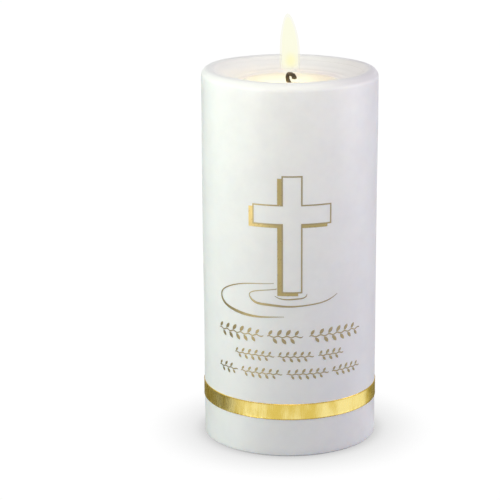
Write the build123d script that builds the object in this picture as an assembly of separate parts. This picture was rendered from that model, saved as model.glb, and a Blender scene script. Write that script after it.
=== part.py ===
"""A lit pillar candle with a gold cross and water design, in millimetres.

The wax is a pressed core inside a harder dipped skin. The wick stands in the core from a steel
sustainer at the base up to a pool of molten wax, and its charred end is inside the flame. The
design is thin gold foil on the skin, and a gold ribbon goes round the foot.

Z is up. The origin is the middle of the face that the candle stands on, and the printed side
faces -Y. On the curved side, u is the distance round the candle from the middle of the printed
side, positive towards +X.
"""

import math
import os

from build123d import *

# Candle body: a trade size of pillar, 2.8 in across and 6 in tall.
CANDLE_R = 71.0 / 2
CANDLE_H = 152.4
SHOULDER_R = 2.4
FOOT_R = 1.2
SKIN_T = 1.6

# Bowl that the flame has melted into the top.
LIP_R = 29.6
LIP_FILLET_R = 0.9
SHORE_R = 20.0
POOL_Z = CANDLE_H - 5.4
POOL_DEPTH = 4.0
SLOPE_SAG = 0.9

# Wick and its sustainer.
WICK_R = 1.2
PRIME_COAT_T = 0.35
CHAR_R = 0.75
RECESS_R = 10.5
RECESS_DEPTH = 1.2
DISC_R = 10.0
DISC_T = 0.35
COLLAR_T = 0.4
COLLAR_H = 7.0
COLLAR_FILLET_R = 0.8
COLLAR_CLEARANCE = 0.2

# Flame: a tall teardrop round the charred end.
FLAME_BASE_Z = POOL_Z + 1.2
FLAME_TIP_Z = POOL_Z + 28.2
FLAME_R = 4.05
CONE_TIP_Z = POOL_Z + 11.0
CONE_R = 2.3
CONE_GAP = 0.5

# Foil design.
FOIL_T = 0.08
CROSS_TOP_Z = 117.1
CROSS_FOOT_Z = 69.1
CROSS_ARM_TOP_Z = 105.4
CROSS_BAR_W = 8.3
CROSS_SPAN = 32.2
CROSS_U = 0.9
CROSS_LINE_W = 0.55
SHADE_SHIFT_U = -1.7
SHADE_SHIFT_Z = -1.1

# Ribbon round the foot, with its ends lapped at the back.
RIBBON_T = 0.25
RIBBON_LOW_Z = 15.8
RIBBON_W = 6.6
LAP_LENGTH = 15.0
ADHESIVE_LENGTH = 11.0
ADHESIVE_T = 0.1

BACK_DEG = 90.0


# ---------- shapes about the candle's axis ----------


def turned(*edges):
    """A solid of revolution about Z from a closed outline of (radius, height) edges."""
    return revolve(Plane.XZ * make_face(Curve() + list(edges)), Axis.Z)


def drum(radius, low_z, high_z):
    """A plain cylinder about Z."""
    return Pos(0, 0, (low_z + high_z) / 2) * Cylinder(radius, high_z - low_z)


def hoop(inner_r, outer_r, low_z, high_z, start_deg=0.0, sweep_deg=360.0):
    """A ring about Z, or a stretch of one, with a rectangular section."""
    section = Pos((inner_r + outer_r) / 2, (low_z + high_z) / 2)
    section *= Rectangle(outer_r - inner_r, high_z - low_z)
    return Rot(0, 0, start_deg) * revolve(Plane.XZ * section, Axis.Z, sweep_deg)


def rounded_pillar(radius, height, shoulder_r, foot_r):
    """The outside of the candle: a cylinder with a rounded shoulder and a rounded foot."""
    body = drum(radius, 0, height)
    body = fillet(body.edges().group_by(Axis.Z)[-1], shoulder_r)
    if foot_r:
        body = fillet(body.edges().group_by(Axis.Z)[0], foot_r)
    return body


def burn_bowl():
    """The space that the flame has melted out: a sloping wall down to a shallow dish."""
    above = CANDLE_H + 2.0
    floor_z = POOL_Z - POOL_DEPTH
    lip_z = CANDLE_H - LIP_FILLET_R
    wall_middle = ((LIP_R + SHORE_R) / 2, (lip_z + POOL_Z) / 2 - SLOPE_SAG)
    dish_middle = (SHORE_R / 2, POOL_Z - POOL_DEPTH * 0.8)
    return turned(
        Line((0, floor_z), (0, above)),
        Line((0, above), (LIP_R + LIP_FILLET_R, above)),
        Line((LIP_R + LIP_FILLET_R, above), (LIP_R + LIP_FILLET_R, CANDLE_H)),
        Line((LIP_R + LIP_FILLET_R, CANDLE_H), (LIP_R, lip_z)),
        ThreePointArc((LIP_R, lip_z), wall_middle, (SHORE_R, POOL_Z)),
        ThreePointArc((SHORE_R, POOL_Z), dish_middle, (0, floor_z)),
    )


# ---------- wax ----------


def wax_parts(bowl):
    """The pressed core, the dipped skin round it and the molten pool in the bowl."""
    outside = rounded_pillar(CANDLE_R, CANDLE_H, SHOULDER_R, FOOT_R)
    inside = rounded_pillar(
        CANDLE_R - SKIN_T, CANDLE_H - SKIN_T, SHOULDER_R - SKIN_T, 0
    )
    collar_r = WICK_R + COLLAR_T + COLLAR_CLEARANCE
    collar_top = RECESS_DEPTH + COLLAR_H + COLLAR_CLEARANCE
    core = inside - bowl
    core -= drum(RECESS_R, 0, RECESS_DEPTH)
    core -= drum(collar_r + COLLAR_FILLET_R, 0, RECESS_DEPTH + COLLAR_FILLET_R)
    core -= drum(collar_r, 0, collar_top)
    core -= drum(WICK_R + PRIME_COAT_T, 0, CANDLE_H)
    liquid = bowl & drum(CANDLE_R, POOL_Z - 2 * POOL_DEPTH, POOL_Z)
    return {
        "wax_core": core,
        "overdip_skin": outside - inside - bowl,
        "melt_pool": liquid - drum(WICK_R, 0, CANDLE_H),
    }


# ---------- wick ----------


def charred_end():
    """The burnt end: it rises from the pool, then curls over towards +X and down."""
    curl = [
        (0.0, POOL_Z),
        (-0.9, POOL_Z + 4.6),
        (2.1, POOL_Z + 4.3),
        (2.4, POOL_Z + 1.9),
    ]
    route = Plane.XZ * FilletPolyline(*curl, radius=1.1)
    section = Plane(origin=route @ 0, z_dir=route % 0) * Circle(CHAR_R)
    tube = sweep(section, path=route)
    return tube & drum(CANDLE_R, POOL_Z, CANDLE_H + 10)


def sustainer():
    """The stamped steel tab: a flat disc with a collar crimped on the wick."""
    under_z = RECESS_DEPTH - DISC_T
    outer_r = WICK_R + COLLAR_T
    disc = hoop(WICK_R, DISC_R, under_z, RECESS_DEPTH)
    collar = hoop(WICK_R, outer_r, RECESS_DEPTH, RECESS_DEPTH + COLLAR_H)
    tab = disc + collar
    root = [
        edge
        for edge in tab.edges().filter_by(GeomType.CIRCLE)
        if abs(edge.radius - outer_r) < 0.01
        and abs(edge.arc_center.Z - RECESS_DEPTH) < 0.01
    ]
    return fillet(root, COLLAR_FILLET_R)


def wick_parts(bowl):
    """The braid, its coat of priming wax, its charred end and the sustainer."""
    braid_foot = RECESS_DEPTH - DISC_T
    coat_foot = RECESS_DEPTH + COLLAR_H + COLLAR_CLEARANCE
    coat = hoop(WICK_R, WICK_R + PRIME_COAT_T, coat_foot, POOL_Z)
    return {
        "wick": drum(WICK_R, braid_foot, POOL_Z),
        "wick_prime_coat": coat - bowl,
        "wick_char_tip": charred_end(),
        "wick_sustainer": sustainer(),
    }


# ---------- flame ----------


def teardrop(base_z, tip_z, widest_r):
    """A flame's outline, turned about Z: widest a quarter of the way up, then a long taper."""
    height = tip_z - base_z
    side = [
        (0.55 * widest_r, base_z),
        (0.97 * widest_r, base_z + 0.14 * height),
        (widest_r, base_z + 0.30 * height),
        (0.86 * widest_r, base_z + 0.62 * height),
        (0.56 * widest_r, base_z + 0.87 * height),
        (0.10 * widest_r, tip_z),
    ]
    return turned(
        Line((0, base_z), side[0]),
        Spline(*side),
        Line(side[-1], (0, tip_z)),
        Line((0, tip_z), (0, base_z)),
    )


def flame_parts(char_tip):
    """The bright mantle, and inside it the darker cone of unburnt vapour on the wick."""
    mantle = teardrop(FLAME_BASE_Z, FLAME_TIP_Z, FLAME_R)
    cone = teardrop(FLAME_BASE_Z + CONE_GAP, CONE_TIP_Z, CONE_R)
    return {
        "flame_mantle": mantle - cone - char_tip,
        "flame_inner_cone": cone - char_tip,
    }


# ---------- foil on the curved side ----------


def around(u, z):
    """Where the point (u, z) of the flat artwork comes on the candle, seen along Y."""
    return (CANDLE_R * math.sin(u / CANDLE_R), z)


def foil(flat_face):
    """Foil of a face drawn with around(): what it cuts from a thin sleeve on the front."""
    low, high = 30.0, 120.0
    sleeve = hoop(CANDLE_R, CANDLE_R + FOIL_T, low, high, -170.0, 160.0)
    cutter = extrude(Plane.XZ * flat_face, CANDLE_R + 1.0)
    return cutter & sleeve


def cross_outline_points(grow=0.0):
    """The corners of the Latin cross, grown outwards by grow all round."""
    half_bar, half_span = CROSS_BAR_W / 2 + grow, CROSS_SPAN / 2 + grow
    top, foot = CROSS_TOP_Z + grow, CROSS_FOOT_Z - grow
    arm_top = CROSS_ARM_TOP_Z + grow
    arm_foot = CROSS_ARM_TOP_Z - CROSS_BAR_W - grow
    right_side = [
        (half_bar, top),
        (half_bar, arm_top),
        (half_span, arm_top),
        (half_span, arm_foot),
        (half_bar, arm_foot),
        (half_bar, foot),
    ]
    return right_side + [(-u, z) for u, z in reversed(right_side)]


def cross_face(grow=0.0, shift_u=0.0, shift_z=0.0):
    """A cross of the flat artwork, placed on the candle."""
    corners = [
        around(u + CROSS_U + shift_u, z + shift_z)
        for u, z in cross_outline_points(grow)
    ]
    return make_face(Polyline(*corners, close=True))


def stroke(centre_line):
    """A brush stroke through (u, z, width) points, pointed at both ends."""
    left, right = [], []
    last = len(centre_line) - 1
    for i, (u, z, width) in enumerate(centre_line):
        before, after = centre_line[max(i - 1, 0)], centre_line[min(i + 1, last)]
        along_u, along_z = after[0] - before[0], after[1] - before[1]
        reach = width / 2 / math.hypot(along_u, along_z)
        left.append(around(u - along_z * reach, z + along_u * reach))
        right.append(around(u + along_z * reach, z - along_u * reach))
    return make_face(
        Curve()
        + [
            Spline(*left),
            Line(left[-1], right[-1]),
            Spline(*reversed(right)),
            Line(right[0], left[0]),
        ]
    )


def ring_stroke(middle, half_u, half_z, tilt, start_deg, end_deg, widths):
    """A stroke along a flattened, slightly tilted ring, as ripples round a foot are drawn."""
    points = []
    for i, width in enumerate(widths):
        turn = math.radians(start_deg + (end_deg - start_deg) * i / (len(widths) - 1))
        du = half_u * math.cos(turn)
        points.append((middle[0] + du, middle[1] + half_z * math.sin(turn) + tilt * du, width))
    return stroke(points)


def cross_parts():
    """The cross drawn as a line, and the solid shade that it throws to the lower left."""
    outer = cross_face(0.0)
    outline = outer - cross_face(-CROSS_LINE_W)
    shade = cross_face(0.0, SHADE_SHIFT_U, SHADE_SHIFT_Z) - outer
    return {"cross_outline": foil(outline), "cross_shade": foil(shade)}


def ripple_parts():
    """Three ripples of water round the foot of the cross."""
    thin, fine = 0.16, 0.34
    outer = ring_stroke(
        (-8.0, 65.95), 23.6, 7.15, 0.045, 86, 284,
        [thin, fine, 0.45, 0.6, 0.95, 1.15, 0.8, thin],
    )
    inner = ring_stroke(
        (1.6, 67.6), 18.6, 3.95, 0.03, 112, 352,
        [thin, fine, 0.45, 0.75, 0.95, 0.7, 0.5, 0.4, thin],
    )
    foot = ring_stroke(
        (0.5, 68.3), 6.6, 1.75, 0.02, 188, 372,
        [thin, fine, 0.5, 0.5, fine, thin],
    )
    return {
        "ripple_outer": foil(outer),
        "ripple_inner": foil(inner),
        "ripple_foot": foil(foot),
    }


# ---------- rows of leaf ornament ----------

# Each row: height of its middle, leaf length, leaf spacing and the sprigs' ends in u.
ORNAMENT_ROWS = [
    (50.9, 3.0, 1.75, [(-32.9, -10.8), (-9.2, 5.4), (7.9, 32.7)]),
    (42.5, 2.15, 1.4, [(-23.9, -6.2), (-4.9, 9.9), (11.8, 23.4)]),
    (35.1, 2.15, 1.4, [(-32.9, -22.5), (-21.0, -3.0), (-1.3, 16.4), (17.9, 32.5)]),
]
STEM_W = 0.42
LEAF_GAP = 0.14
LEAF_SLANT_DEG = 54.0
LEAF_SLENDERNESS = 0.46


def leaf(u, z, length, width, direction_deg):
    """One foil leaf with its foot at (u, z): two arcs between a foot and a tip."""
    angle = u / CANDLE_R
    ahead = Vector(math.sin(angle), -math.cos(angle), 0)
    sideways = (math.cos(angle), math.sin(angle), 0)
    plane = Plane(origin=ahead * (CANDLE_R - 0.5) + Vector(0, 0, z), x_dir=sideways, z_dir=ahead)
    blade = make_face(
        Curve()
        + [
            ThreePointArc((0, 0), (0.42 * length, width / 2), (length, 0)),
            ThreePointArc((length, 0), (0.42 * length, -width / 2), (0, 0)),
        ]
    )
    cutter = extrude(plane * Rot(0, 0, direction_deg) * blade, 1.5)
    spread = math.degrees(length / CANDLE_R) + 2.0
    sleeve = hoop(
        CANDLE_R, CANDLE_R + FOIL_T, z - length - 1, z + length + 1,
        math.degrees(angle) - BACK_DEG - spread, 2 * spread,
    )
    return cutter & sleeve


def sprig(first_u, last_u, middle_z, leaf_length, spacing):
    """A waving stem with slanting leaves above and below it in turn."""
    length = last_u - first_u
    leaves = max(3, round((length - leaf_length) / spacing))
    step = (length - 0.7 * leaf_length) / leaves
    swing = 0.10 * leaf_length

    def stem_z(u):
        return middle_z + swing * math.sin(math.pi * (u - first_u) / step)

    points = [first_u + length * i / (2 * leaves) for i in range(2 * leaves + 1)]
    widths = [STEM_W * (0.45 if i in (0, 2 * leaves) else 1.0) for i in range(2 * leaves + 1)]
    pieces = [foil(stroke([(u, stem_z(u), w) for u, w in zip(points, widths)]))]
    for i in range(leaves):
        u = first_u + (i + 0.35) * step
        side = 1 if i % 2 == 0 else -1
        size = leaf_length * (0.78 + 0.22 * math.sin(math.pi * (i + 0.5) / leaves))
        lift = side * (STEM_W / 2 + LEAF_GAP)
        pieces.append(
            leaf(u, stem_z(u) + lift, size, LEAF_SLENDERNESS * size, side * LEAF_SLANT_DEG)
        )
    return pieces


def ornament_parts():
    """Three centred rows of leaf sprigs under the ripples."""
    rows = {}
    for number, (z, leaf_length, spacing, spans) in enumerate(ORNAMENT_ROWS, start=1):
        pieces = []
        for first_u, last_u in spans:
            pieces += sprig(first_u, last_u, z, leaf_length, spacing)
        solids = [solid for piece in pieces for solid in piece.solids()]
        rows[f"ornament_row_{number}"] = Compound(children=solids)
    return rows


# ---------- ribbon ----------


def ribbon_parts():
    """The ribbon as one ring whose end laps over its start, and the adhesive under the lap."""
    high_z = RIBBON_LOW_Z + RIBBON_W
    under_r = CANDLE_R + RIBBON_T
    over_r = under_r + ADHESIVE_T + RIBBON_T
    lap_deg = math.degrees(LAP_LENGTH / under_r)
    adhesive_deg = math.degrees(ADHESIVE_LENGTH / under_r)
    start = BACK_DEG - lap_deg / 2
    adhesive = hoop(
        under_r, under_r + ADHESIVE_T, RIBBON_LOW_Z, high_z, start, adhesive_deg
    )
    ring = hoop(CANDLE_R, under_r, RIBBON_LOW_Z, high_z)
    lap = hoop(under_r, over_r, RIBBON_LOW_Z, high_z, start, lap_deg)
    return {"ribbon": ring + lap - adhesive, "ribbon_adhesive": adhesive}


# ---------- all of it ----------


def candle():
    """Every piece of the candle by name."""
    bowl = burn_bowl()
    parts = {**wax_parts(bowl), **wick_parts(bowl)}
    parts.update(flame_parts(parts["wick_char_tip"]))
    parts.update(cross_parts())
    parts.update(ripple_parts())
    parts.update(ornament_parts())
    parts.update(ribbon_parts())
    return parts


os.makedirs("parts", exist_ok=True)
for name, shape in candle().items():
    export_step(shape, f"parts/{name}.step")
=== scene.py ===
"""The looks of the lit pillar candle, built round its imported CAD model.

Blender works in metres. The sizes below are in millimetres, and mm() turns them into metres. The
candle stands on z = 0 with its axis on the Z axis, and its printed side faces -Y.
"""

import math

import bpy
from mathutils import Matrix, Vector, noise


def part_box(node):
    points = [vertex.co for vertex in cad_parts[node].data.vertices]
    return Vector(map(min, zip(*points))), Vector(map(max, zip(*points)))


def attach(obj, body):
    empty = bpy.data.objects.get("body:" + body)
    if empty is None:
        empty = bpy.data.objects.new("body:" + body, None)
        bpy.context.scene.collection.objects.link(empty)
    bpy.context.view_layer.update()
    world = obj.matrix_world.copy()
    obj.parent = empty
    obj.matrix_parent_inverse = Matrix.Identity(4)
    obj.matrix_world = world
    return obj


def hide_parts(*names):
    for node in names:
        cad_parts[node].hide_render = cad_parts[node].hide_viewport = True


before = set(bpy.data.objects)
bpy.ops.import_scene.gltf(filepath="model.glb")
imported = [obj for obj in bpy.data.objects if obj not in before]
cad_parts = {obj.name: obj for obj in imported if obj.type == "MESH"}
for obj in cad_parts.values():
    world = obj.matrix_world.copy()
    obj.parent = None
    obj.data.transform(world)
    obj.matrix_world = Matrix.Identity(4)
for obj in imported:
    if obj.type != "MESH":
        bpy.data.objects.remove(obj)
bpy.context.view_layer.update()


def mm(*values):
    """Millimetres as metres, as one number or as a vector."""
    scaled = [value / 1000.0 for value in values]
    return scaled[0] if len(scaled) == 1 else Vector(scaled)


def in_mm(node):
    """The lowest and highest corners of a CAD node in millimetres."""
    low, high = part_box(node)
    return low * 1000.0, high * 1000.0


# ---------- sizes, in millimetres, most of them from the frame ----------

CANDLE_R = in_mm("overdip_skin")[1].x
CANDLE_H = in_mm("overdip_skin")[1].z
SKIN_T = CANDLE_R - in_mm("wax_core")[1].x
SHOULDER_R = 3.2
FOOT_R = 0.7
LIP_R = 30.6
LIP_SOFT_R = 3.0
LIP_TILT_DEG = 34.0
SHORE_R = in_mm("melt_pool")[1].x
POOL_Z = in_mm("melt_pool")[1].z
POOL_DEPTH = 4.0
SLOPE_SAG = 0.9
RIM_RISE = 1.35
RIM_RISE_DEG = -105.0
RIM_STRETCH = 24.0
DRAFT = 0.45
DRAFT_LOW = 30.0

WICK_R = in_mm("wick")[1].x
WICK_FOOT = in_mm("wick")[0].z
PRIME_R = in_mm("wick_prime_coat")[1].x
DISC_R = in_mm("wick_sustainer")[1].x
DISC_UNDER = in_mm("wick_sustainer")[0].z
COLLAR_TOP = in_mm("wick_sustainer")[1].z
DISC_T = 0.35
RECESS_R = DISC_R + 0.5
RECESS_TOP = DISC_UNDER + DISC_T
COLLAR_R = WICK_R + 0.4
COLLAR_BORE_R = COLLAR_R + 0.2

RIBBON_LOW = in_mm("ribbon")[0].z
RIBBON_HIGH = in_mm("ribbon")[1].z
RIBBON_T = in_mm("ribbon")[1].x - CANDLE_R
LAP_LENGTH = 15.0
LAP_LIFT = 0.1
BACK = math.pi / 2

FLAME_LOW = in_mm("flame_mantle")[0].z
FLAME_TIP = in_mm("flame_mantle")[1].z
FLAME_R = in_mm("flame_mantle")[1].x
CONE_LOW = in_mm("flame_inner_cone")[0].z
CONE_TIP = in_mm("flame_inner_cone")[1].z
CONE_R = in_mm("flame_inner_cone")[1].y
CORE_Z = CONE_TIP - 1.3
CORE_R = 3.4

TURN = 2 * math.pi
ROUND = 224


# ---------- camera ----------

CAMERA_LENS = 167.9
CAMERA_DISTANCE = 957.3
CAMERA_ELEVATION = math.radians(15.85)
CAMERA_AIM_Z = 77.0
CAMERA_SHIFT_X = -0.0794


def add_camera():
    """A long lens from the front and a little above, with the candle right of the middle."""
    data = bpy.data.cameras.new("camera")
    data.lens = CAMERA_LENS
    data.shift_x = CAMERA_SHIFT_X
    camera = bpy.data.objects.new("camera", data)
    back = Vector((0, -math.cos(CAMERA_ELEVATION), math.sin(CAMERA_ELEVATION)))
    camera.location = mm(0, 0, CAMERA_AIM_Z) + back * mm(CAMERA_DISTANCE)
    camera.rotation_euler = (-back).to_track_quat("-Z", "Y").to_euler()
    bpy.context.scene.collection.objects.link(camera)
    bpy.context.scene.camera = camera


# ---------- mesh building ----------


def smooth_step(low, high, value):
    """0 below low, 1 above high and an S curve between."""
    share = min(1.0, max(0.0, (value - low) / (high - low)))
    return share * share * (3 - 2 * share)


def arc(centre, radius, start_deg, end_deg, steps):
    """Points of (radius, height) along an arc, both ends included."""
    points = []
    for i in range(steps + 1):
        turn = math.radians(start_deg + (end_deg - start_deg) * i / steps)
        points.append((centre[0] + radius * math.cos(turn), centre[1] + radius * math.sin(turn)))
    return points


def straight(start, end, steps):
    """Points from start to end, without the end itself."""
    return [
        tuple(a + (b - a) * i / steps for a, b in zip(start, end)) for i in range(steps)
    ]


def through(points, steps):
    """A smooth line of points through the given ones, as a Catmull-Rom spline."""
    ends = [2 * Vector(points[0]) - Vector(points[1]), 2 * Vector(points[-1]) - Vector(points[-2])]
    knots = [ends[0], *[Vector(p) for p in points], ends[1]]
    line = []
    for i in range(1, len(knots) - 2):
        a, b, c, d = knots[i - 1 : i + 3]
        for k in range(steps):
            t = k / steps
            line.append(
                0.5 * (2 * b + (c - a) * t + (2 * a - 5 * b + 4 * c - d) * t * t
                       + (3 * b - a - 3 * c + d) * t * t * t)
            )
    line.append(knots[-2])
    return line


def new_piece(name, points, faces, material, crease=40):
    """A mesh object from points in millimetres, riding on the candle's one body.

    An edge sharper than the crease, in degrees, stays sharp.
    """
    mesh = bpy.data.meshes.new(name)
    mesh.from_pydata([mm(*p) for p in points], [], faces)
    mesh.validate()
    mesh.update()
    mesh.materials.append(material)
    for polygon in mesh.polygons:
        polygon.use_smooth = True
    mesh.set_sharp_from_angle(angle=math.radians(crease))
    piece = bpy.data.objects.new(name, mesh)
    bpy.context.scene.collection.objects.link(piece)
    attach(piece, "root")
    return piece


def grid_faces(rows, columns, wrap_rows, wrap_columns):
    """The quads of a grid of points, row by row."""
    faces = []
    for i in range(rows if wrap_rows else rows - 1):
        for j in range(columns if wrap_columns else columns - 1):
            a, b = i * columns, (i + 1) % rows * columns
            k = (j + 1) % columns
            faces.append((a + j, a + k, b + k, b + j))
    return faces


def close_end(points, faces, row, columns, tip, flip):
    """Closes a ring of a grid of points with a fan of triangles to a tip."""
    end = len(points)
    points.append(tip)
    for j in range(columns):
        a, b = row * columns + j, row * columns + (j + 1) % columns
        faces.append((b, a, end) if flip else (a, b, end))


def turned(name, profile, shape, material, closed=True, crease=40):
    """A body turned about Z from a profile of (radius, height) points.

    shape(angle, radius, height) moves a point off the true turned surface. A closed profile is a
    loop clear of the axis. An open one is closed with a point on the axis at each end.
    """
    points = [
        shape(TURN * j / ROUND, radius, height) for radius, height in profile for j in range(ROUND)
    ]
    faces = grid_faces(len(profile), ROUND, closed, True)
    if not closed:
        close_end(points, faces, 0, ROUND, (0.0, 0.0, profile[0][1]), True)
        close_end(points, faces, len(profile) - 1, ROUND, (0.0, 0.0, profile[-1][1]), False)
    return new_piece(name, points, faces, material, crease)


def on_circle(angle, radius, height):
    """The point at an angle about Z."""
    return (radius * math.cos(angle), radius * math.sin(angle), height)


# ---------- the natural unevenness of the wax ----------


def side_swell(angle, height):
    """How far the side of the candle stands out from a true cylinder: it widens a little upwards."""
    return (
        DRAFT * (smooth_step(DRAFT_LOW, CANDLE_H, height) - 0.45)
        + 0.060 * math.sin(2 * angle + height / 41 + 0.7)
        + 0.045 * math.sin(3 * angle - height / 23 + 2.1)
        + 0.030 * math.sin(5 * angle + height / 13 + 4.0)
        + 0.018 * math.sin(9 * angle - height / 7 + 1.3)
    )


def lip_wave(angle):
    """How far the melted lip wanders in and out."""
    return 0.32 * math.sin(2 * angle + 0.4) + 0.20 * math.sin(3 * angle + 2.0) \
        + 0.10 * math.sin(7 * angle + 1.0)


def shore_wave(angle):
    """How far the edge of the molten pool wanders in and out."""
    return 0.62 * math.sin(angle + 2.6) + 0.42 * math.sin(3 * angle + 0.9) \
        + 0.22 * math.sin(6 * angle + 3.0) + 0.12 * math.sin(11 * angle)


def crest_rise(angle):
    """How far the rim's height wanders: it has melted least at the front left."""
    front = 0.5 + 0.5 * math.cos(angle - math.radians(RIM_RISE_DEG))
    return RIM_RISE * front + 0.12 * math.sin(2 * angle + 1.9) + 0.07 * math.sin(5 * angle + 0.3)


def wax_point(angle, radius, height):
    """A point of the true candle moved to where the real, uneven wax has it."""
    up = smooth_step(CANDLE_H - RIM_STRETCH, CANDLE_H, height)
    outer = smooth_step(SHORE_R, CANDLE_R - SKIN_T - 0.4, radius)
    bowl = 1.0 - smooth_step(LIP_R, CANDLE_R - 1.5, radius)
    in_bowl = bowl if height > POOL_Z - POOL_DEPTH - 0.5 else 0.0
    wander = shore_wave(angle) * (1 - outer) * min(1.0, radius / SHORE_R) ** 2
    wander += lip_wave(angle) * outer
    moved = radius + in_bowl * wander + (1.0 - in_bowl) * side_swell(angle, height) \
        * (radius / CANDLE_R) ** 3
    lift = crest_rise(angle) * up * smooth_step(SHORE_R, LIP_R, radius)
    return on_circle(angle, moved, height + lift)


def shore_ridges(radius):
    """Low rings on the slope, where the edge of the pool has set and melted again."""
    rings = ((SHORE_R + 1.3, 0.10, 0.5), (SHORE_R + 3.4, 0.13, 0.7), (SHORE_R + 6.2, 0.08, 0.9))
    return sum(
        height * math.exp(-(((radius - middle) / width) ** 2)) for middle, height, width in rings
    )


def soft_lip():
    """The melted lip, rolled over from the flat crest down into the bowl."""
    crest_r = LIP_R + LIP_SOFT_R * math.sin(math.radians(LIP_TILT_DEG))
    return arc((crest_r, CANDLE_H - LIP_SOFT_R), LIP_SOFT_R, 90, 90 + LIP_TILT_DEG, 8)


def bowl_wall(low_z, high_z, steps):
    """The slope of the bowl between two heights, from the pool up to the lip."""
    start, end = Vector((SHORE_R, POOL_Z)), Vector(soft_lip()[-1])
    middle = (start + end) / 2 - Vector((0, SLOPE_SAG))
    points = []
    for i in range(201):
        t = i / 200
        control = 2 * middle - (start + end) / 2
        spot = start * (1 - t) ** 2 + control * 2 * t * (1 - t) + end * t * t
        fade = math.sin(math.pi * t) ** 0.5 if 0 < t < 1 else 0.0
        points.append((spot.x, spot.y + fade * shore_ridges(spot.x)))
    chosen = [p for p in points if low_z <= p[1] <= high_z]
    return [chosen[round(i * (len(chosen) - 1) / steps)] for i in range(steps + 1)]


def dish(steps):
    """The floor of the pool, from the shore in to the wick's hole."""
    rows = []
    for i in range(1, steps + 1):
        radius = SHORE_R + (PRIME_R - SHORE_R) * i / steps
        rows.append((radius, POOL_Z - POOL_DEPTH * (1 - (radius / SHORE_R) ** 2.2)))
    return rows


# ---------- node trees ----------


class Look:
    """A material and short ways to add nodes to it. Its main shader is a Principled one."""

    def __init__(self, name):
        self.material = bpy.data.materials.new(name)
        self.material.use_nodes = True
        self.tree = self.material.node_tree
        self.shader = self.tree.nodes["Principled BSDF"]
        self.output = self.tree.nodes["Material Output"]
        self.place = self.add("ShaderNodeTexCoord").outputs["Object"]

    def add(self, kind, **settings):
        node = self.tree.nodes.new(kind)
        for key, value in settings.items():
            setattr(node, key, value)
        return node

    def feed(self, socket, value):
        """Sets a socket from another socket or from a plain value."""
        if isinstance(value, bpy.types.NodeSocket):
            self.tree.links.new(value, socket)
        elif hasattr(socket.default_value, "__len__") and not hasattr(value, "__len__"):
            socket.default_value = [value] * len(socket.default_value)
        elif hasattr(value, "__len__") and len(value) == 3 and len(socket.default_value) == 4:
            socket.default_value = (*value, 1.0)
        else:
            socket.default_value = value

    def set(self, **values):
        """Feeds inputs of the main shader, with _ in place of each space of a name."""
        for key, value in values.items():
            self.feed(self.shader.inputs[key.replace("_", " ")], value)

    def math(self, operation, a, b=0.0, c=0.0, clamp=False):
        node = self.add("ShaderNodeMath", operation=operation, use_clamp=clamp)
        for socket, value in zip(node.inputs, (a, b, c)):
            self.feed(socket, value)
        return node.outputs[0]

    def axes(self):
        """The place's x, y and z in millimetres."""
        split = self.add("ShaderNodeSeparateXYZ")
        self.feed(split.inputs[0], self.place)
        return [self.math("MULTIPLY", axis, 1000.0) for axis in split.outputs]

    def vector(self, x, y, z):
        joined = self.add("ShaderNodeCombineXYZ")
        for socket, value in zip(joined.inputs, (x, y, z)):
            self.feed(socket, value)
        return joined.outputs[0]

    def noise(self, size, detail=3.0, roughness=0.5, place=None):
        """Noise from 0 to 1 whose features are about size millimetres wide."""
        node = self.add("ShaderNodeTexNoise")
        self.feed(node.inputs["Vector"], self.place if place is None else place)
        scale = 1000.0 / size if place is None else 1.0 / size
        self.feed(node.inputs["Scale"], scale)
        self.feed(node.inputs["Detail"], detail)
        self.feed(node.inputs["Roughness"], roughness)
        return node.outputs[0]

    def range(self, value, low, high, to_low=0.0, to_high=1.0, smooth=True):
        """value mapped from low..high to to_low..to_high, and held there outside."""
        node = self.add("ShaderNodeMapRange", clamp=True)
        node.interpolation_type = "SMOOTHSTEP" if smooth else "LINEAR"
        for socket, number in zip(node.inputs, (value, low, high, to_low, to_high)):
            self.feed(socket, number)
        return node.outputs[0]

    def mix(self, share, a, b):
        """Colour a at share 0 and b at share 1."""
        node = self.add("ShaderNodeMix", data_type="RGBA")
        self.feed(node.inputs[0], share)
        self.feed(node.inputs[6], a)
        self.feed(node.inputs[7], b)
        return node.outputs[2]

    def bump(self, height, depth):
        """A bump of the shader whose height of 1 stands for depth millimetres."""
        node = self.add("ShaderNodeBump")
        self.feed(node.inputs["Height"], height)
        self.feed(node.inputs["Distance"], mm(depth))
        self.feed(self.shader.inputs["Normal"], node.outputs[0])

    def round_place(self):
        """(distance round the candle, distance from the axis, height), in millimetres."""
        x, y, z = self.axes()
        angle = self.math("ARCTAN2", x, self.math("MULTIPLY", y, -1.0))
        out = self.math("SQRT", self.math("ADD", self.math("MULTIPLY", x, x),
                                          self.math("MULTIPLY", y, y)))
        return self.math("MULTIPLY", angle, CANDLE_R), out, z


# ---------- materials ----------

# Greyer waxes of the rim, painted shade where the wax faces up; the crest's is the lighter one.
LIP_WAX = (0.78, 0.78, 0.775)
# Painted shade: the rim's wax darker towards the right, away from the light.
SHADED_RIGHT_LIP_WAX = (0.645, 0.62, 0.63)
CREST_WAX = (0.87, 0.875, 0.855)
SHADED_RIGHT_CREST_WAX = (0.70, 0.68, 0.70)
# Strength of the bowl's painted glow, and the x of the middle of its painted flame light.
PAINTED_GLOW_STRENGTH = 0.25
FLAME_LIT_X = -2.0


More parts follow.
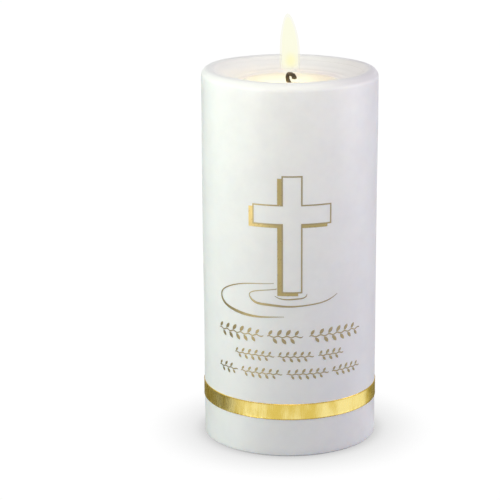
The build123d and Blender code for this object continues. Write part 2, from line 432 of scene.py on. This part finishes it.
def wax_look(name, light, shade, depth_mm, share):
    """Paraffin: soft white, a little mottled, with light that goes some way into it."""
    look = Look(name)
    mottle = look.noise(17.0, 4.0, 0.55)
    cloud = look.noise(3.2, 3.0, 0.6)
    blend = look.math("ADD", look.math("MULTIPLY", mottle, 0.75),
                      look.math("MULTIPLY", cloud, 0.25))
    colour = look.mix(look.range(blend, 0.36, 0.64), shade, light)
    look.set(
        Base_Color=colour,
        Roughness=look.range(look.noise(6.0, 4.0), 0.3, 0.7, 0.30, 0.46),
        IOR=1.44,
        Specular_IOR_Level=0.35,
        Subsurface_Weight=share,
        Subsurface_Scale=mm(depth_mm),
        Subsurface_Radius=(1.0, 0.82, 0.66),
    )
    grain = look.math("ADD", look.math("MULTIPLY", look.noise(0.7, 2.0), 0.35),
                      look.math("MULTIPLY", look.noise(2.6, 2.0), 0.65))
    look.bump(grain, 0.05)
    return look


def rim_wax(look, left_colour=LIP_WAX, right_shade=SHADED_RIGHT_LIP_WAX):
    """The rim's wax colour, with painted shade: greyer than the side, and darker still towards the
    right.
    """
    return look.mix(look.range(look.axes()[0], 8.0, 34.0), left_colour, right_shade)


def skin_look():
    """The dipped wax, given the rim's greyer colours as painted shade where it faces up over the
    rim, where light no longer goes into it.
    """
    look = wax_look("overdip_wax", (0.945, 0.94, 0.93), (0.905, 0.90, 0.90), 1.2, 0.35)
    plain = look.shader.inputs["Base Color"].links[0].from_socket
    split = look.add("ShaderNodeSeparateXYZ")
    look.feed(split.inputs[0], look.add("ShaderNodeTexCoord").outputs["Normal"])
    # Painted shade: wax that faces up takes the rim's greyer colours.
    facing_up = look.range(split.outputs["Z"], 0.05, 0.6)
    crest = look.range(look.round_place()[1], LIP_R - 0.3, LIP_R + 1.7)
    rim = look.mix(crest, rim_wax(look), rim_wax(look, CREST_WAX, SHADED_RIGHT_CREST_WAX))
    look.set(
        Base_Color=look.mix(facing_up, plain, rim),
        Subsurface_Weight=look.range(facing_up, 0.0, 1.0, 0.35, 0.0),
    )
    return look.material


def bowl_look():
    """The core's wax, with painted flame light: pale yellow and glowing round the wick under the
    pool, peach beyond, and greyer up to the lip.
    """
    # The bowl's wax is given greyer colours than the skin's, as painted shade in the bowl.
    look = wax_look("core_wax", (0.86, 0.855, 0.84), (0.80, 0.79, 0.785), 2.5, 0.6)
    x, y, height = look.axes()
    from_flame = look.add("ShaderNodeVectorMath", operation="LENGTH")
    look.feed(from_flame.inputs[0], look.vector(look.math("SUBTRACT", x, FLAME_LIT_X), y, 0.0))
    patch = look.math("MULTIPLY", look.math("SUBTRACT", look.noise(7.0, 2.0), 0.5), 5.0)
    out = from_flame.outputs["Value"]
    reach = look.math("ADD", out, patch)
    plain = look.shader.inputs["Base Color"].links[0].from_socket
    upper = look.mix(look.range(reach, SHORE_R + 2.0, LIP_R - 3.0), plain, rim_wax(look))
    # Painted flame light, peach, and darker towards the right as painted shade.
    warm = look.mix(look.range(x, 4.0, 18.0), (0.83, 0.80, 0.74), (0.75, 0.69, 0.68))
    flame_blush = look.mix(look.range(reach, SHORE_R, SHORE_R + 8.0), warm, upper)
    # Painted light of the flame: pale yellow round the wick.
    flame_lit = look.mix(look.range(reach, 4.0, SHORE_R - 5.0), (1.0, 1.0, 0.81), flame_blush)
    top = look.range(height, POOL_Z - POOL_DEPTH - 2.0, POOL_Z - POOL_DEPTH - 1.0)
    # Painted glow: the wax near the flame gives off light of its own.
    painted_glow = look.math("MULTIPLY", top, look.range(reach, 3.0, SHORE_R - 4.0, PAINTED_GLOW_STRENGTH, 0.0))
    look.set(
        Base_Color=look.mix(top, plain, flame_lit),
        Emission_Color=(1.0, 0.93, 0.60),
        Emission_Strength=painted_glow,
        Subsurface_Weight=look.range(out, SHORE_R, LIP_R - 4.0, 0.6, 0.0),
    )
    return look.material


def liquid_look():
    """Molten wax: clear and a little yellow, with a wet gloss."""
    look = Look("molten_wax")
    clear = look.add("ShaderNodeBsdfTransparent")
    look.feed(clear.inputs["Color"], (1.0, 0.995, 0.95))
    look.set(
        Base_Color=(0.98, 0.93, 0.78),
        Roughness=look.range(look.noise(5.0, 2.0), 0.3, 0.7, 0.03, 0.09),
        IOR=1.43,
    )
    gloss = look.add("ShaderNodeFresnel")
    look.feed(gloss.inputs["IOR"], 1.43)
    inside = look.add("ShaderNodeNewGeometry").outputs["Backfacing"]
    shadow = look.add("ShaderNodeLightPath").outputs["Is Shadow Ray"]
    clear_ray = look.math("MAXIMUM", inside, shadow)
    mixed = look.add("ShaderNodeMixShader")
    look.feed(mixed.inputs[0], look.math("MULTIPLY", gloss.outputs[0],
                                         look.math("SUBTRACT", 1.0, clear_ray)))
    look.feed(mixed.inputs[1], clear.outputs[0])
    look.feed(mixed.inputs[2], look.shader.outputs[0])
    look.feed(look.output.inputs["Surface"], mixed.outputs[0])
    look.bump(look.noise(2.4, 2.0), 0.02)
    return look.material


def cotton_look():
    """Undyed cotton yarn, its fibres along the braid."""
    look = Look("wick_cotton")
    x, y, z = look.axes()
    fibres = look.noise(0.12, 3.0, 0.6, look.vector(x, y, look.math("MULTIPLY", z, 0.2)))
    look.set(
        Base_Color=look.mix(fibres, (0.70, 0.66, 0.55), (0.90, 0.87, 0.78)),
        Roughness=0.85,
        Sheen_Weight=0.3,
    )
    look.bump(fibres, 0.06)
    return look.material


def char_look():
    """Burnt cotton: brown-black and crumbling, browner low down where it's still waxy."""
    look = Look("charred_cotton")
    _, _, height = look.axes()
    crumbs = look.noise(0.35, 4.0, 0.65)
    black = look.mix(crumbs, (0.012, 0.010, 0.008), (0.075, 0.055, 0.035))
    brown = look.mix(crumbs, (0.05, 0.035, 0.015), (0.17, 0.12, 0.05))
    waxy = look.range(height, POOL_Z + 0.4, POOL_Z + 3.8)
    look.set(
        Base_Color=look.mix(waxy, brown, black),
        Roughness=look.range(waxy, 0.0, 1.0, 0.45, 0.9),
        IOR=1.4,
    )
    look.bump(crumbs, 0.12)
    return look.material


def steel_look():
    """Tinned sheet steel with rolling lines and a film of wax."""
    look = Look("tinned_steel")
    x, y, z = look.axes()
    rolled = look.noise(0.25, 3.0, 0.6, look.vector(x, look.math("MULTIPLY", y, 0.06), z))
    spots = look.noise(2.5, 3.0, 0.6)
    look.set(
        Base_Color=look.mix(look.range(spots, 0.35, 0.7), (0.50, 0.50, 0.50), (0.68, 0.68, 0.67)),
        Metallic=1.0,
        Roughness=look.range(rolled, 0.2, 0.8, 0.24, 0.42),
    )
    look.bump(rolled, 0.01)
    return look.material


def foil_look(name, bright, deep, rough):
    """Hot-stamped gold foil, brighter on the left as a painted reflection, with fine wear where it
    missed the wax.
    """
    look = Look(name)
    along, _, _ = look.round_place()
    drift = look.math("MULTIPLY", look.math("SUBTRACT", look.noise(8.0, 3.0), 0.5), 12.0)
    # Painted reflection: the gold is brighter on the left and deeper on the right.
    painted_reflection_share = look.range(look.math("ADD", along, drift), -17.0, -3.0)
    gold = look.mix(painted_reflection_share, bright, deep)
    wear = look.range(look.noise(0.42, 3.0, 0.6), 0.70, 0.76)
    look.set(
        Base_Color=look.mix(wear, gold, (0.93, 0.92, 0.90)),
        Metallic=look.math("SUBTRACT", 1.0, wear),
        Roughness=look.range(look.noise(1.1, 3.0), 0.3, 0.7, rough, rough + 0.16),
    )
    look.bump(look.noise(0.8, 3.0), 0.012)
    return look.material


def ribbon_look():
    """Metallic ribbon: fine ribs across its width that catch the light unevenly, painted sheen in
    broad bands of brighter gold, and painted shade along its edges.
    """
    look = Look("gold_ribbon")
    along, _, height = look.round_place()
    fine = look.noise(0.45, 2.0, 0.6, look.vector(along, 0.0, look.math("MULTIPLY", height, 0.15)))
    broad = look.noise(7.0, 3.0, 0.5, look.vector(along, 4.0, look.math("MULTIPLY", height, 0.4)))
    # Painted sheen: broad bands of brighter and deeper gold.
    painted_sheen = look.math("ADD", look.math("MULTIPLY", fine, 0.2), look.math("MULTIPLY", broad, 0.8))
    gold = look.mix(look.range(painted_sheen, 0.36, 0.62), (0.70, 0.52, 0.11), (0.88, 0.73, 0.28))
    middle = (RIBBON_LOW + RIBBON_HIGH) / 2
    from_middle = look.math("ABSOLUTE", look.math("SUBTRACT", height, middle))
    half = (RIBBON_HIGH - RIBBON_LOW) / 2
    # Painted shade: deeper gold along both edges of the ribbon.
    edge = look.range(from_middle, half - 0.55, half - 0.15)
    look.set(
        Base_Color=look.mix(edge, gold, (0.52, 0.35, 0.07)),
        Metallic=1.0,
        Specular_Tint=(1.0, 0.86, 0.50),
        Roughness=look.range(fine, 0.2, 0.8, 0.18, 0.34),
    )
    look.bump(fine, 0.04)
    return look.material


def glue_look():
    """A clear pad of set adhesive."""
    look = Look("clear_adhesive")
    look.set(
        Base_Color=look.mix(look.noise(1.5), (0.86, 0.84, 0.74), (0.93, 0.92, 0.86)),
        Roughness=look.range(look.noise(2.0), 0.3, 0.7, 0.12, 0.3),
        Alpha=0.6,
    )
    return look.material


def flame_look(name, body, low_colour, solid, fade_low, fade_high):
    """Glowing gas: its own light and almost no surface, thinning out to nothing at its foot.

    Over the wick it's a deeper yellow.
    """
    look = Look(name)
    x, _, height = look.axes()
    wisp = look.noise(5.0, 2.0, 0.5)
    warm = look.range(height, fade_low + 3.0, fade_high + 9.0)
    colour = look.mix(warm, low_colour, body)
    lit = look.mix(look.range(wisp, 0.3, 0.7), colour, body)
    off_axis = look.math("DIVIDE", look.math("SUBTRACT", x, 0.4), CORE_R)
    off_level = look.math("DIVIDE", look.math("SUBTRACT", height, CORE_Z), 1.3 * CORE_R)
    off_core = look.add("ShaderNodeVectorMath", operation="LENGTH")
    look.feed(off_core.inputs[0], look.vector(off_axis, off_level, 0.0))
    core = look.range(off_core.outputs["Value"], 0.1, 1.0, 1.0, 0.0)
    look.set(
        Base_Color=(0.0, 0.0, 0.0),
        Roughness=1.0,
        Specular_IOR_Level=0.0,
        Emission_Color=look.mix(core, lit, (1.0, 0.965, 0.60)),
        Emission_Strength=1.0,
        Alpha=look.range(height, fade_low, fade_high, 0.0, solid),
    )
    return look.material


# ---------- wax pieces ----------


def under_skin():
    """The face between skin and core: its radius, its top and its rounded corner."""
    inner_r, inner_top = CANDLE_R - SKIN_T, CANDLE_H - SKIN_T
    corner_r = SHOULDER_R - SKIN_T
    corner = arc((inner_r - corner_r, inner_top - corner_r), corner_r, 90, 0, 4)
    return inner_r, inner_top, corner


def build_skin(material):
    """The dipped skin: a closed shell from the foot, over the shoulder and down to the lip."""
    shoulder = arc((CANDLE_R - SHOULDER_R, CANDLE_H - SHOULDER_R), SHOULDER_R, 0, 90, 12)
    foot = arc((CANDLE_R - FOOT_R, FOOT_R), FOOT_R, -90, 0, 6)
    lip = soft_lip()
    inner_r, inner_top, corner = under_skin()
    exposed = [p for p in reversed(bowl_wall(inner_top, CANDLE_H, 4))][1:]
    profile = [
        *straight((inner_r, 0), foot[0], 2),
        *foot,
        *straight((CANDLE_R, FOOT_R), shoulder[0], 70)[1:],
        *shoulder,
        *straight(shoulder[-1], lip[0], 5)[1:],
        *lip,
        *exposed,
        *straight(exposed[-1], corner[0], 6)[1:],
        *corner,
        *straight(corner[-1], (inner_r, 0), 30)[1:],
    ]
    skin = turned("overdip_skin_wax", profile, wax_point, material)
    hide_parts("overdip_skin")


def build_core(material):
    """The core: the bowl above, the side that the skin covers, and the recess below."""
    inner_r, inner_top, corner = under_skin()
    wall = bowl_wall(POOL_Z, inner_top, 40)
    profile = [
        *reversed(dish(26)),
        *wall,
        *straight(wall[-1], corner[0], 6)[1:],
        *corner,
        *straight(corner[-1], (inner_r, 0), 30)[1:],
        *straight((inner_r, 0), (RECESS_R + 0.3, 0), 12),
        *arc((RECESS_R + 0.3, 0.3), 0.3, -90, -180, 4),
        *straight((RECESS_R, 0.3), (RECESS_R, RECESS_TOP), 3)[1:],
        *straight((RECESS_R, RECESS_TOP), (COLLAR_BORE_R + 0.8, RECESS_TOP), 6),
        (COLLAR_BORE_R + 0.8, RECESS_TOP),
        (COLLAR_BORE_R, RECESS_TOP + 0.8),
        (COLLAR_BORE_R, COLLAR_TOP + 0.2),
        (PRIME_R, COLLAR_TOP + 0.2),
    ]
    core = turned("core_wax_body", profile, wax_point, material, crease=20)
    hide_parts("wax_core")


def build_pool(material):
    """The molten pool, its surface drawn up a little at the shore and at the wick."""
    shore_climb, wick_climb, film = 0.12, 0.45, 0.05
    surface = []
    for i in range(31):
        radius = WICK_R + (SHORE_R + 0.25 - WICK_R) * i / 30
        climb = wick_climb * math.exp(-(radius - WICK_R) / 0.9)
        climb += shore_climb * math.exp(-(SHORE_R + 0.25 - radius) / 1.2)
        surface.append((radius, POOL_Z + climb))
    bed = [(radius, height + film) for radius, height in dish(20) if radius > WICK_R + 0.5]
    profile = surface + [(SHORE_R - 0.1, POOL_Z - 0.15), *bed, (WICK_R, bed[-1][1])]
    pool = turned("melt_pool_wax", list(reversed(profile)), wax_point, material)
    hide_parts("melt_pool")


# ---------- wick ----------

BRAID_PITCH = 4.2
CHAR_R = 0.94


def braided_ring(angle, along, radius):
    """The radius of a three-strand braid at an angle and a distance along it."""
    one = math.cos(1.5 * angle + math.pi * along / BRAID_PITCH)
    other = math.cos(1.5 * angle - math.pi * along / BRAID_PITCH)
    return radius * (0.84 + 0.16 * max(abs(one), abs(other)))


def tube(name, line, ring, across, material):
    """A closed tube along a line in the XZ plane, with ring(angle, along) as its radius."""
    points, along = [], 0.0
    for i, spot in enumerate(line):
        before, after = line[max(i - 1, 0)], line[min(i + 1, len(line) - 1)]
        ahead = (after - before).normalized()
        side = ahead.cross(Vector((0, 1, 0))).normalized()
        if i:
            along += (spot - line[i - 1]).length
        for j in range(across):
            angle = TURN * j / across
            reach = ring(angle, along)
            points.append(spot + side * math.cos(angle) * reach
                          + Vector((0, 1, 0)) * math.sin(angle) * reach)
    faces = grid_faces(len(line), across, False, True)
    close_end(points, faces, 0, across, line[0], True)
    close_end(points, faces, len(line) - 1, across, line[-1], False)
    return new_piece(name, points, faces, material)


def build_wick(material):
    """The braid from the sustainer to the pool."""
    rows = round((POOL_Z - WICK_FOOT) / 0.45)
    line = [Vector((0, 0, WICK_FOOT + (POOL_Z - WICK_FOOT) * i / rows)) for i in range(rows + 1)]
    wick = tube("wick_braid", line, lambda angle, along: braided_ring(angle, along, WICK_R), 24,
                material)
    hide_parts("wick")


def build_char(material):
    """The burnt end: up out of the pool, over towards +X and down, thick and ragged at its end."""
    route = [(0.0, -0.9), (-0.35, 0.2), (-0.7, 1.4), (-0.92, 2.4), (-0.6, 3.25), (0.1, 3.55),
             (0.9, 3.3), (1.55, 2.85), (1.8, 2.15), (1.8, 1.4)]
    line = through([(x, 0.0, POOL_Z + z) for x, z in route], 9)
    length = sum((b - a).length for a, b in zip(line, line[1:]))

    def ring(angle, along):
        share = along / length
        swell = 1.0 - 0.10 * math.sin(math.pi * share) + 0.16 * smooth_step(0.8, 0.94, share)
        round_end = math.sqrt(max(0.0, 1.0 - max(0.0, (share - 0.93) / 0.07) ** 2.4))
        crumb = noise.noise(Vector((math.cos(angle) * 1.3, math.sin(angle) * 1.3, along * 1.9)))
        return CHAR_R * swell * (0.12 + 0.88 * round_end) * (1 + 0.17 * crumb) \
            * braided_ring(angle, along * 1.7, 1.0)

    tip = tube("wick_charred_end", line, ring, 26, material)
    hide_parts("wick_char_tip")


def build_sustainer(material):
    """The stamped tab: a disc with a rim and a ring pressed in it, and a crimped collar."""
    under, over = DISC_UNDER, DISC_UNDER + DISC_T
    groove_r, groove_w, groove_d = 6.4, 0.7, 0.10

    def groove(radius):
        return groove_d * math.exp(-(((radius - groove_r) / groove_w) ** 2))

    steps = 34
    radii = [WICK_R + (DISC_R - 0.15 - WICK_R) * i / steps for i in range(steps + 1)]
    below = [(radius, under + groove(radius)) for radius in radii]
    above = [(radius, over) for radius in reversed(radii) if radius > COLLAR_R + 0.8]
    profile = [
        *below,
        *arc((DISC_R - 0.15, (under + over) / 2), DISC_T / 2 - 0.01, -90, 90, 5)[1:-1],
        *above,
        *arc((COLLAR_R + 0.8, over + 0.8), 0.8, -90, -180, 5),
        *straight((COLLAR_R, over + 0.8), (COLLAR_R, COLLAR_TOP), 18)[1:],
        (COLLAR_R - 0.1, COLLAR_TOP),
        (WICK_R + 0.02, COLLAR_TOP - 0.05),
    ]

    def crimped(angle, radius, height):
        """Three dents squeeze the collar on the braid."""
        share = math.exp(-(((height - (over + 4.4)) / 0.9) ** 2)) if height > over + 1.0 else 0.0
        dent = 0.22 * share * max(0.0, math.cos(3 * angle)) ** 4
        return on_circle(angle, radius - dent, height)

    tab = turned("wick_sustainer_tab", profile, crimped, material)
    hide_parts("wick_sustainer")


# ---------- flame ----------


def leaning_body(name, low, high, radius, outline, lean, material):
    """A closed flame body: rings of outline(share) times radius, which lean towards -X."""
    steps = 44
    rows = []
    for i in range(steps + 1):
        share = i / steps
        rows.append((max(0.02, radius * outline(share)), low + (high - low) * share))

    def leaned(angle, ring, height):
        share = (height - low) / (high - low)
        x, y, z = on_circle(angle, ring, height)
        return (x - lean * share**2 + 0.18 * math.sin(math.pi * share), y, z)

    flame = turned(name, rows, leaned, material, closed=False)
    flame.visible_shadow = False
    return flame


def flame_outline(share):
    """Width of the flame: full low down, with nearly straight sides and a round point."""
    shape = [(0.0, 0.60), (0.06, 0.84), (0.13, 0.96), (0.28, 1.0), (0.50, 0.97), (0.66, 0.86),
             (0.80, 0.67), (0.92, 0.43), (0.975, 0.24), (1.0, 0.0)]
    for (low, start), (high, end) in zip(shape, shape[1:]):
        if share <= high:
            return start + (end - start) * (share - low) / (high - low)
    return 0.0


def cone_outline(share):
    """Width of the inner cone."""
    return (0.6 + 0.4 * smooth_step(0.0, 0.3, share)) * math.sqrt(max(0.0, 1.0 - share**2.2))


def build_flame():
    """A dim thin veil, the bright body in it and the deeper yellow cone over the wick."""
    veil_look = flame_look("flame_veil", (0.91, 0.90, 0.71), (0.92, 0.87, 0.66), 0.27,
                           POOL_Z + 4.4, POOL_Z + 8.6)
    body_look = flame_look("flame", (1.0, 1.0, 0.81), (1.0, 0.985, 0.78), 0.93,
                           POOL_Z + 4.6, POOL_Z + 8.4)
    cone_look = flame_look("flame_base", (1.0, 0.95, 0.40), (1.0, 0.92, 0.46), 0.80,
                           POOL_Z + 6.4, POOL_Z + 9.4)
    veil = leaning_body("flame_veil", FLAME_LOW, FLAME_TIP, FLAME_R, flame_outline, 0.8,
                        veil_look)
    body = leaning_body("flame_body", FLAME_LOW + 0.8, FLAME_TIP - 1.4, FLAME_R - 0.85,
                        flame_outline, 0.75, body_look)
    cone = leaning_body("flame_cone", CONE_LOW, CONE_TIP + 1.8, CONE_R, cone_outline, 0.1,
                        cone_look)
    for piece, node, slot in (
        (veil, "flame_mantle", "flame"),
        (body, "flame_mantle", "flame"),
        (cone, "flame_inner_cone", "flame_base"),
    ):
        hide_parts(node)


# ---------- pieces laid on the wax ----------


def laid_on_wax(node, name, material):
    """A copy of a CAD node, laid on the uneven side of the real wax."""
    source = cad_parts[node]
    mesh = source.data.copy()
    mesh.materials.clear()
    mesh.materials.append(material)
    for vertex in mesh.vertices:
        x, y, z = vertex.co * 1000.0
        angle, radius = math.atan2(y, x), math.hypot(x, y)
        vertex.co = mm(*on_circle(angle, radius + side_swell(angle, z), z))
    piece = bpy.data.objects.new(name, mesh)
    bpy.context.scene.collection.objects.link(piece)
    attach(piece, "root")
    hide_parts(node)
    return piece


def build_foil(node, material):
    """One CAD foil node on the wax."""
    laid_on_wax(node, node + "_foil", material)


def build_design():
    """The cross and its shade, the ripples and the rows of leaves."""
    line = foil_look("gold_foil_line", (0.40, 0.32, 0.165), (0.30, 0.245, 0.14), 0.30)
    solid = foil_look("gold_foil_solid", (0.62, 0.47, 0.20), (0.36, 0.29, 0.13), 0.26)
    for node in sorted(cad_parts):
        if node == "cross_shade":
            build_foil(node, solid)
        elif node == "cross_outline" or node.startswith(("ripple_", "ornament_")):
            build_foil(node, line)


# ---------- ribbon ----------

RIB_PITCH = 0.42
RIBBON_LENGTH = TURN * CANDLE_R + LAP_LENGTH
RIBBON_ROWS = round(RIBBON_LENGTH / (RIB_PITCH / 3)) + 1
RIBBON_SHARES = [-1.0, -0.985, -0.95, -0.90, -0.86, -0.5, 0.0, 0.5, 0.86, 0.90, 0.95, 0.985, 1.0]


def ribbon_lift(along):
    """How far the ribbon stands off the wax: over its own start, and more at its free end."""
    over = smooth_step(TURN * CANDLE_R - 3.2, TURN * CANDLE_R + 0.2, along)
    free_end = smooth_step(RIBBON_LENGTH - 4.0, RIBBON_LENGTH, along)
    return over * (RIBBON_T + LAP_LIFT) + 0.25 * free_end


def ribbon_thickness(share, rib, pull):
    """Thickness at a share of the half width: ribs in the middle and a selvedge on each side."""
    selvedge = 0.07 * smooth_step(0.86, 0.93, abs(share))
    edge = 1.0 - 0.5 * smooth_step(0.95, 1.0, abs(share))
    relief = 0.035 * rib * (1 - smooth_step(0.84, 0.88, abs(share)))
    return (RIBBON_T - 0.05 + selvedge + relief + 0.02 * pull) * edge


def strip_faces(rows, columns):
    """The quads of a closed strip: its top, its underside, its long sides and its two ends."""
    shift = rows * columns
    top = grid_faces(rows, columns, False, False)
    faces = top + [tuple(shift + k for k in reversed(face)) for face in top]
    for i in range(rows - 1):
        for j, flip in ((0, False), (columns - 1, True)):
            a, b = i * columns + j, (i + 1) * columns + j
            quad = (a, b, shift + b, shift + a)
            faces.append(tuple(reversed(quad)) if flip else quad)
    for row, flip in ((0, True), (rows - 1, False)):
        for j in range(columns - 1):
            a = row * columns + j
            quad = (a, a + 1, shift + a + 1, shift + a)
            faces.append(tuple(reversed(quad)) if flip else quad)
    return faces


def build_ribbon(material):
    """The ribbon as one strip, from its glued start once round and over the start again."""
    start = BACK - LAP_LENGTH / 2 / CANDLE_R
    half, middle = (RIBBON_HIGH - RIBBON_LOW) / 2, (RIBBON_HIGH + RIBBON_LOW) / 2
    outer, inner = [], []
    for i in range(RIBBON_ROWS):
        along = RIBBON_LENGTH * i / (RIBBON_ROWS - 1)
        angle = start + along / CANDLE_R
        rib = 0.5 + 0.5 * math.cos(TURN * along / RIB_PITCH)
        pull = noise.noise(Vector((along * 0.35, 3.1, 0.0)))
        for share in RIBBON_SHARES:
            height = middle + half * share + 0.05 * pull
            base = CANDLE_R + side_swell(angle, height) + ribbon_lift(along)
            outer.append(on_circle(angle, base + ribbon_thickness(share, rib, pull), height))
            inner.append(on_circle(angle, base, height))
    faces = strip_faces(RIBBON_ROWS, len(RIBBON_SHARES))
    ribbon = new_piece("ribbon_strip", outer + inner, faces, material)
    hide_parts("ribbon")


def build_glue(material):
    """The pad of glue under the ribbon's lap, laid on the wax as the foil is."""
    glue = laid_on_wax("ribbon_adhesive", "adhesive_pad", material)


# ---------- CAD nodes that keep their shape ----------


def dress(node, material):
    """Gives a CAD node a material of this script."""
    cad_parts[node].data.materials.clear()
    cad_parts[node].data.materials.append(material)


# ---------- stage and light ----------

FLOOR_HALF = 4000.0
FLOOR_DROP = 0.05
FLOOR_BOUNCE = (0.105, 0.105, 0.145)
CONTACT_REACH = 33.0
CREVICE_REACH = 6.0
SKY_STRENGTH = 0.50
SKY_COLOUR = (0.83, 0.83, 1.0)
LAMP_AIM_Z = 90.0
FLAME_LIGHT = (-1.5, 0, POOL_Z + 11.0)


def studio_rays(tree):
    """1 for straight and mirrored rays, which see the white studio, and 0 for diffuse light."""
    rays = tree.nodes.new("ShaderNodeLightPath")
    seen = tree.nodes.new("ShaderNodeMath")
    seen.operation = "MAXIMUM"
    tree.links.new(rays.outputs["Is Camera Ray"], seen.inputs[0])
    tree.links.new(rays.outputs["Is Glossy Ray"], seen.inputs[1])
    return seen.outputs[0]


def open_sky(look, reach, samples, darkest, lightest):
    """Brightness that falls from lightest to darkest where the candle is within reach."""
    sky = look.add("ShaderNodeAmbientOcclusion", samples=samples)
    look.feed(sky.inputs["Distance"], mm(reach))
    return look.range(sky.outputs["AO"], 0.50, 0.95, darkest, lightest, False)


def mirrored_shade(look):
    """Brightness of the floor in reflections: white in front of the candle, grey behind it."""
    unit = look.add("ShaderNodeVectorMath", operation="NORMALIZE")
    look.feed(unit.inputs[0], look.place)
    behind = look.add("ShaderNodeVectorMath", operation="DOT_PRODUCT")
    look.feed(behind.inputs[0], unit.outputs["Vector"])
    look.feed(behind.inputs[1], (-0.35, 1.0, 0.0))
    return look.range(behind.outputs["Value"], -0.30, 0.10, 1.0, 0.28)


def floor_look():
    """White with a soft contact shade. Diffuse light finds it dim, so it throws little back."""
    look = Look("stage_floor")
    contact = look.math("MULTIPLY", open_sky(look, CONTACT_REACH, 12, 0.71, 1.02),
                        open_sky(look, CREVICE_REACH, 8, 0.86, 1.0))
    straight_on = look.add("ShaderNodeLightPath").outputs["Is Camera Ray"]
    bright = look.math("MAXIMUM", mirrored_shade(look), straight_on)
    look.set(Base_Color=(0, 0, 0), Roughness=1.0, Specular_IOR_Level=0.0, Emission_Color=(1, 1, 1),
             Emission_Strength=look.math("MULTIPLY", contact, bright))
    dim = look.add("ShaderNodeBsdfDiffuse")
    look.feed(dim.inputs["Color"], FLOOR_BOUNCE)
    chosen = look.add("ShaderNodeMixShader")
    look.feed(chosen.inputs[0], studio_rays(look.tree))
    look.feed(chosen.inputs[1], dim.outputs[0])
    look.feed(chosen.inputs[2], look.shader.outputs[0])
    look.feed(look.output.inputs["Surface"], chosen.outputs[0])
    look.material.cycles.emission_sampling = "NONE"
    return look.material


def add_floor():
    """A plain white floor just under the candle."""
    corners = [(-FLOOR_HALF, -FLOOR_HALF), (FLOOR_HALF, -FLOOR_HALF), (FLOOR_HALF, FLOOR_HALF),
               (-FLOOR_HALF, FLOOR_HALF)]
    mesh = bpy.data.meshes.new("stage_floor")
    mesh.from_pydata([mm(x, y, -FLOOR_DROP) for x, y in corners], [], [(0, 1, 2, 3)])
    mesh.materials.append(floor_look())
    floor = bpy.data.objects.new("stage_floor", mesh)
    bpy.context.scene.collection.objects.link(floor)


def add_sky():
    """A white studio round the candle. It lights the candle dimly, and more from above."""
    world = bpy.data.worlds.new("studio")
    bpy.context.scene.world = world
    world.use_nodes = True
    tree = world.node_tree
    links = tree.links
    place = tree.nodes.new("ShaderNodeTexCoord")
    split = tree.nodes.new("ShaderNodeSeparateXYZ")
    links.new(place.outputs["Generated"], split.inputs[0])
    up = tree.nodes.new("ShaderNodeMapRange")
    up.interpolation_type = "SMOOTHSTEP"
    links.new(split.outputs["Z"], up.inputs[0])
    for socket, value in zip(up.inputs[1:5], (-0.2, 0.9, 0.0, SKY_STRENGTH)):
        socket.default_value = value
    light = tree.nodes["Background"]
    light.inputs["Color"].default_value = (*SKY_COLOUR, 1.0)
    links.new(up.outputs[0], light.inputs["Strength"])
    plain = tree.nodes.new("ShaderNodeBackground")
    plain.inputs["Color"].default_value = (1, 1, 1, 1)
    chosen = tree.nodes.new("ShaderNodeMixShader")
    links.new(studio_rays(tree), chosen.inputs[0])
    links.new(light.outputs[0], chosen.inputs[1])
    links.new(plain.outputs[0], chosen.inputs[2])
    links.new(chosen.outputs[0], tree.nodes["World Output"].inputs["Surface"])
    world.cycles.sampling_method = "NONE"


def add_softbox(name, place, size, power, colour, mirrored=True):
    """A square area light at a place in millimetres, turned towards the candle."""
    data = bpy.data.lights.new(name, "AREA")
    data.shape = "SQUARE"
    data.size = mm(size)
    data.energy = power
    data.color = colour
    lamp = bpy.data.objects.new(name, data)
    lamp.location = mm(*place)
    towards = mm(0, 0, LAMP_AIM_Z) - lamp.location
    lamp.rotation_euler = towards.to_track_quat("-Z", "Y").to_euler()
    lamp.visible_glossy = mirrored
    bpy.context.scene.collection.objects.link(lamp)


def add_flame_light():
    """The light that the flame throws on the wax."""
    data = bpy.data.lights.new("flame_light", "POINT")
    data.energy = 0.0085
    data.color = (1.0, 0.93, 0.76)
    data.shadow_soft_size = mm(2.5)
    lamp = bpy.data.objects.new("flame_light", data)
    lamp.location = mm(*FLAME_LIGHT)
    bpy.context.scene.collection.objects.link(lamp)


def add_lights():
    """A low key from the left, fills from the right and the back and a light above the front."""
    add_sky()
    add_softbox("left_side", (-450, 60, 120), 330, 0.74, (0.84, 1.0, 0.83))
    add_softbox("left_front", (-350, -330, 210), 300, 1.36, (0.97, 1.0, 0.91))
    add_softbox("right_side", (430, -60, 175), 300, 1.17, (0.985, 0.965, 1.0))
    add_softbox("front_top", (0, -200, 330), 160, 0.27, (1.0, 0.95, 0.80))
    add_softbox("back", (80, 470, 100), 200, 0.72, (1.0, 0.99, 0.97), mirrored=False)
    add_flame_light()


# ---------- all of it ----------

bpy.context.scene.view_settings.view_transform = "Standard"
bpy.context.scene.cycles.transparent_max_bounces = 24
add_camera()

skin_wax = skin_look()
core_wax = bowl_look()
build_skin(skin_wax)
build_core(core_wax)
build_pool(liquid_look())
build_wick(cotton_look())
build_char(char_look())
build_sustainer(steel_look())
build_flame()
build_design()
build_ribbon(ribbon_look())
build_glue(glue_look())
dress("wick_prime_coat", core_wax)

add_floor()
add_lights()
